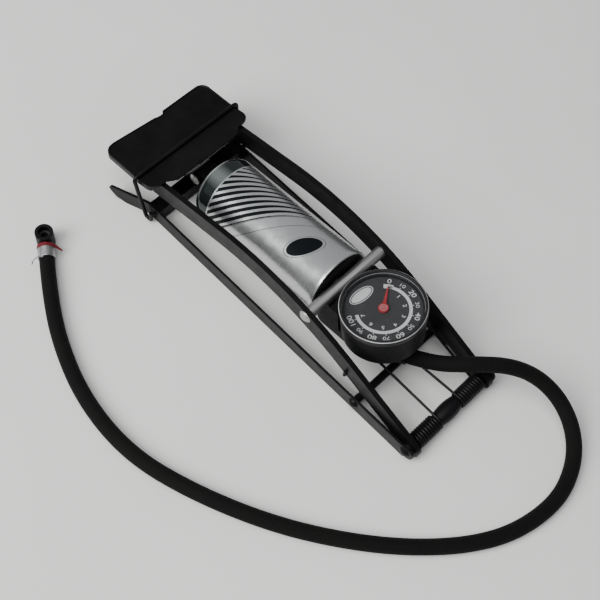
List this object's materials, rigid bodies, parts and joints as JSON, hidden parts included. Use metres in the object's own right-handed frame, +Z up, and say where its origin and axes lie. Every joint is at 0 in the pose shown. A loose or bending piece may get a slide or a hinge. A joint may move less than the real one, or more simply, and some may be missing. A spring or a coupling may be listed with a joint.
{
  "type": "foot pump",
  "caption": "Foot-operated air pump: a barrel under a sprung treadle with two bowed arms, a round pressure gauge and a woven hose, folded and held by a wire bail.",
  "frame": {"origin": "on the floor, below the middle of the folded frame's length and width, with the hose left out", "axes": "+X towards the pedal, +Y towards the left rail, +Z up"},
  "size_m": [0.3752, 0.2319, 0.0678],
  "materials": {
    "black_steel": "satin black enamel",
    "bare_steel": "bright zinc plate",
    "spring_steel": "black oiled wire",
    "silver_paint": null,
    "black_plastic": "moulded",
    "bezel_plastic": "moulded",
    "lens": "clear, lightly scratched",
    "dial_face": "printed scale of numbers",
    "red_plastic": "moulded",
    "brass": "turned",
    "hose_rubber": "woven cover",
    "seal_rubber": "moulded",
    "crimp_steel": "crimped"
  },
  "bodies": {
    "base": {"base_rail_left": "black_steel", "base_rail_right": "black_steel", "front_strap": "black_steel", "barrel_bracket": "black_steel", "pivot_pin": "bare_steel", "rear_crossbar": "black_steel", "rear_axle": "black_steel", "axle_washers": "black_steel", "axle_sleeve": "black_plastic", "spring_left": "spring_steel", "spring_right": "spring_steel", "hose": "hose_rubber", "ferrule": "crimp_steel", "hose_band": "red_plastic", "valve_head": "black_plastic", "valve_grommet": "seal_rubber"},
    "arm": {"arm_rail_left": "black_steel", "arm_rail_right": "black_steel", "pedal": "black_steel", "cross_tube": "bare_steel", "tube_rivet": "bare_steel"},
    "bail": {"bail": "black_steel"},
    "head": {"head_block": "black_steel", "piston_rod": "bare_steel", "gauge_housing": "black_plastic", "gauge_bezel": "bezel_plastic", "gauge_lens": "lens", "gauge_dial": "dial_face", "gauge_stem": "brass", "gauge_movement": "brass", "bourdon_tube": "brass", "hose_collar": "black_plastic"},
    "needle": {"gauge_needle": "red_plastic"},
    "barrel": {"barrel": "silver_paint", "barrel_foot": "black_steel", "barrel_cap": "black_plastic"},
    "piston": {"piston": "black_plastic", "piston_seal": "seal_rubber"}
  },
  "joints": [
    {"name": "arm_lift", "type": "hinge", "parent": "base", "child": "arm", "pos_m": [-0.138, 0, 0.0083], "axis": [0, -1, 0], "range_deg": [0, 35], "deforming": ["spring_left", "spring_right", "hose"]},
    {"name": "head_swing", "type": "hinge", "parent": "arm", "child": "head", "pos_m": [-0.0401, 0, 0.0498], "axis": [0, 1, 0], "range_deg": [0, 50.2]},
    {"name": "barrel_tilt", "type": "hinge", "parent": "base", "child": "barrel", "pos_m": [0.093, 0, 0.024], "axis": [0, 1, 0], "range_deg": [0, 15.2]},
    {"name": "piston_slide", "type": "slide", "parent": "barrel", "child": "piston", "axis": [-0.9932, 0, 0.1166], "range_m": [0, 0.0545]},
    {"name": "needle_turn", "type": "hinge", "parent": "head", "child": "needle", "pos_m": [-0.07111, 0, 0.0627], "axis": [-0.1856, 0, -0.9826], "range_deg": [0, 236], "stiffness_Nm_per_rad": 0.0005},
    {"name": "bail_swing", "type": "hinge", "parent": "arm", "child": "bail", "pos_m": [0.1103, 0, 0.04385], "axis": [0, 1, 0], "range_deg": [0, 95]}
  ],
  "couplings": [
    {"joint": "head_swing", "follows": "arm_lift", "ratio": 1.4297},
    {"joint": "barrel_tilt", "follows": "arm_lift", "ratio": 0.4297},
    {"joint": "piston_slide", "follows": "arm_lift", "m_per_rad": 0.08889}
  ]
}
